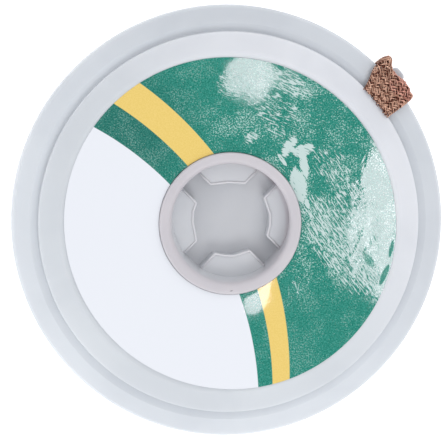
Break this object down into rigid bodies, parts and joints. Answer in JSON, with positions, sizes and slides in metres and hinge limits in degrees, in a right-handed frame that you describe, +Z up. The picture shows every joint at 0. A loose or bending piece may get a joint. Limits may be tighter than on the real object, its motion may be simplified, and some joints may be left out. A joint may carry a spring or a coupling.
{
  "type": "desoldering braid",
  "caption": "Flat copper desoldering braid wound on a reel inside a round plastic case, with its free end folded over the rim and a cross-shaped finger recess in the turning hub.",
  "frame": {"origin": "centre of the case's lower face, on the reel's axis, at the level of the surface it lies on", "axes": "+Z up along the reel's axis, out of the labelled face; +X to the right of the label as it is read; the free end of the braid leaves the rim at about 39 degrees from +X towards +Y"},
  "size_m": [0.05, 0.05, 0.0084],
  "materials": {
    "case_plastic": "satin",
    "reel_plastic": "satin",
    "label_film": "gloss",
    "braid_copper": "woven"
  },
  "bodies": {
    "case": {"lower_shell": "case_plastic", "upper_shell": "case_plastic", "label": "label_film", "braid_tail": "braid_copper"},
    "reel_and_braid": {"reel": "reel_plastic", "braid_coil": "braid_copper"}
  },
  "joints": [
    {"name": "reel_spin", "type": "hinge", "parent": "case", "child": "reel_and_braid", "pos_m": [0, 0, 0.004], "axis": [0, 0, 1], "continuous": true}
  ]
}
